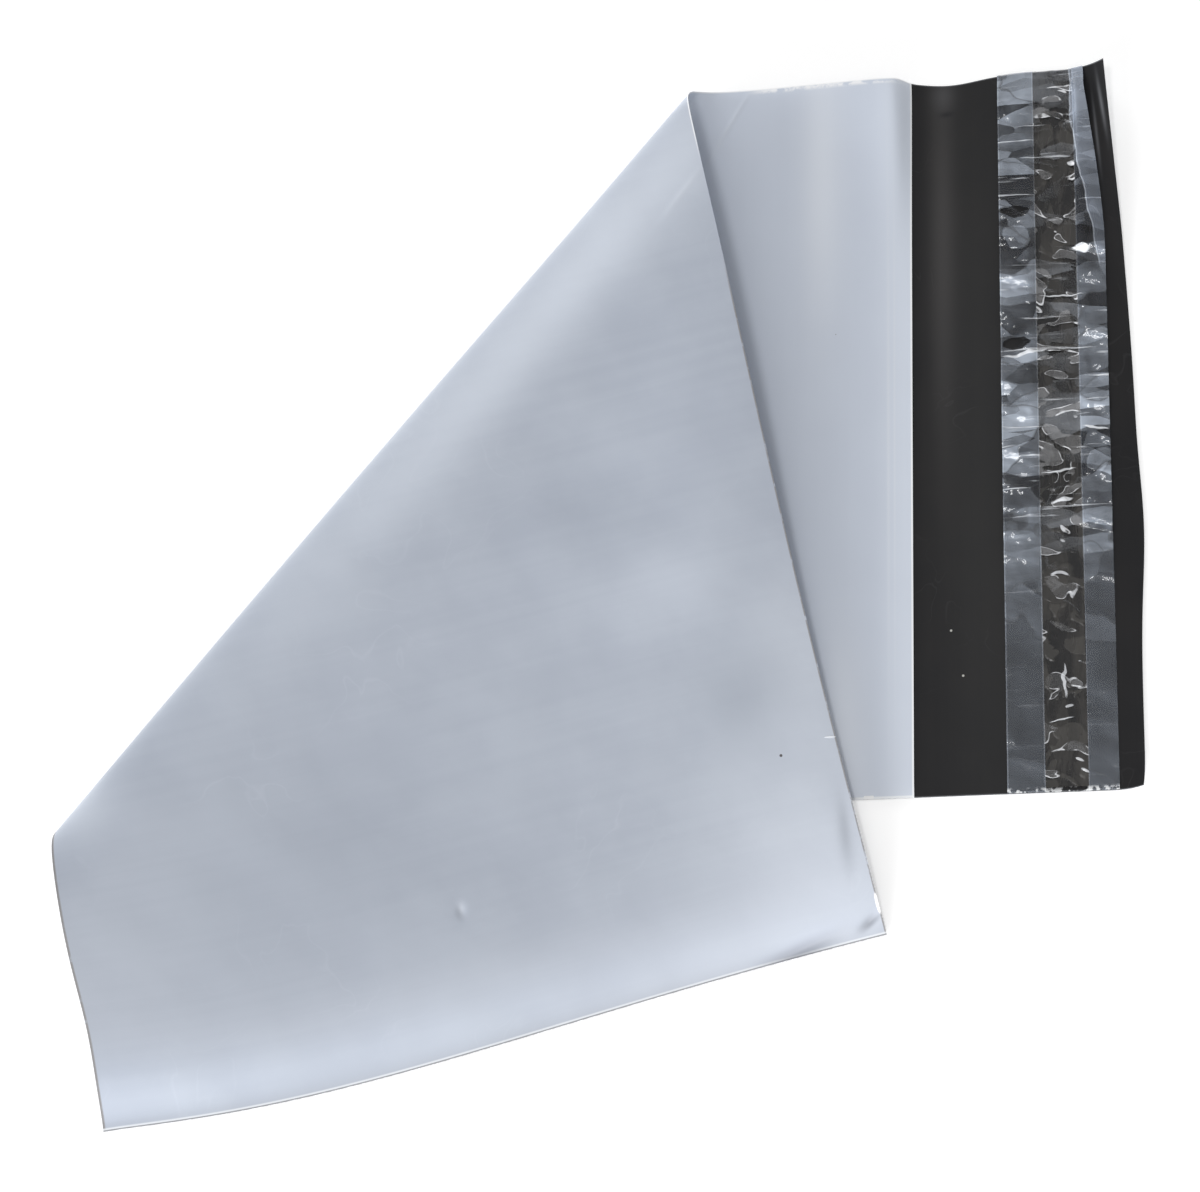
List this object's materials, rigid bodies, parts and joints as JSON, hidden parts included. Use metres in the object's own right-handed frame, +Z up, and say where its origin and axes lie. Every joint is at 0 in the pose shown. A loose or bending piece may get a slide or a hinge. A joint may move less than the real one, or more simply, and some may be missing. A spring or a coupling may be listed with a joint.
{
  "type": "poly mailer bag",
  "caption": "Flat plastic film mailing bag lying folded over diagonally, with an open mouth, a dark sealing flap and a release liner over its adhesive band.",
  "frame": {"origin": "under the middle of the folded bag's bounding box, on the table it lies on", "axes": "+X runs along the unfolded part of the bag from its closed end towards the sealing flap, +Y across the bag, +Z up from the table"},
  "size_m": [0.2094, 0.2124, 0.0088],
  "materials": {
    "film_outside": "satin pearl grey film outside, black inside",
    "adhesive": "smooth tacky hot-melt band",
    "liner_film": "clear glossy wrinkled film"
  },
  "bodies": {
    "root": {"bag_film": "film_outside", "adhesive_strip": "adhesive", "release_liner": "liner_film"}
  },
  "joints": []
}
